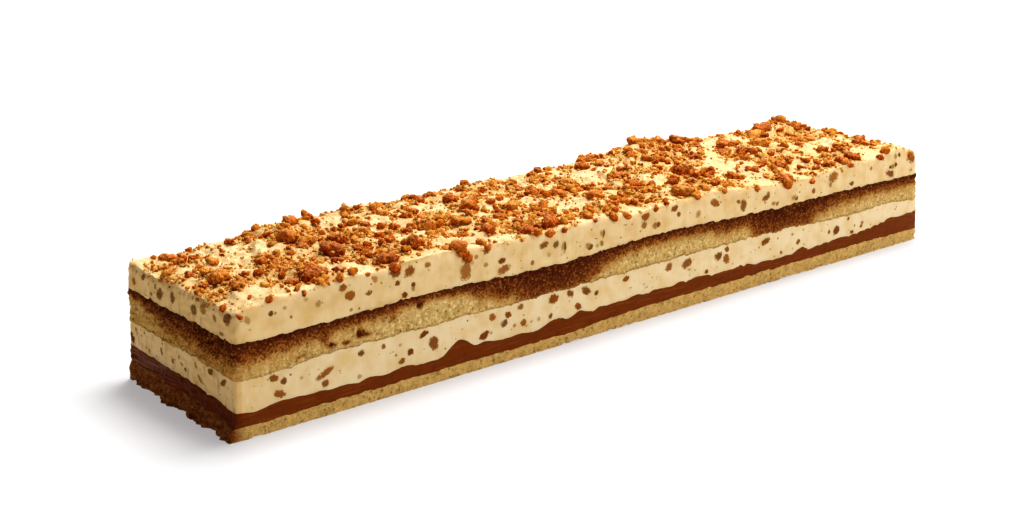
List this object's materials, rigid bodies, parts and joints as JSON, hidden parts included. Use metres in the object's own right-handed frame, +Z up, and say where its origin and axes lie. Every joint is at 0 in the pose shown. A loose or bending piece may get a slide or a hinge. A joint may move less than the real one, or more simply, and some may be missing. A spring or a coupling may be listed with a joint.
{
  "type": "bavarois cake",
  "caption": "Long cut strip of layered bavarois cake: sponge base, chocolate ganache, cream, soaked sponge and cream strewn with baked crumbs.",
  "frame": {"origin": "middle of the footprint, on the underside of the base sponge", "axes": "+X along the strip from the near cut end to the far one, +Y from the shown long side to the hidden one, +Z up through the layers"},
  "size_m": [0.3974, 0.0816, 0.0584],
  "materials": {
    "base_sponge": "matte crumb of a baked sponge",
    "chocolate_ganache": "satin milk chocolate ganache",
    "lower_cream": "satin set cream",
    "middle_sponge": "matte crumb of a sponge, soaked dark at its top",
    "upper_cream": "satin set cream with baked crumbs"
  },
  "bodies": {
    "root": {"base_sponge": "base_sponge", "chocolate_ganache": "chocolate_ganache", "lower_cream": "lower_cream", "middle_sponge": "middle_sponge", "upper_cream": "upper_cream"}
  },
  "joints": []
}
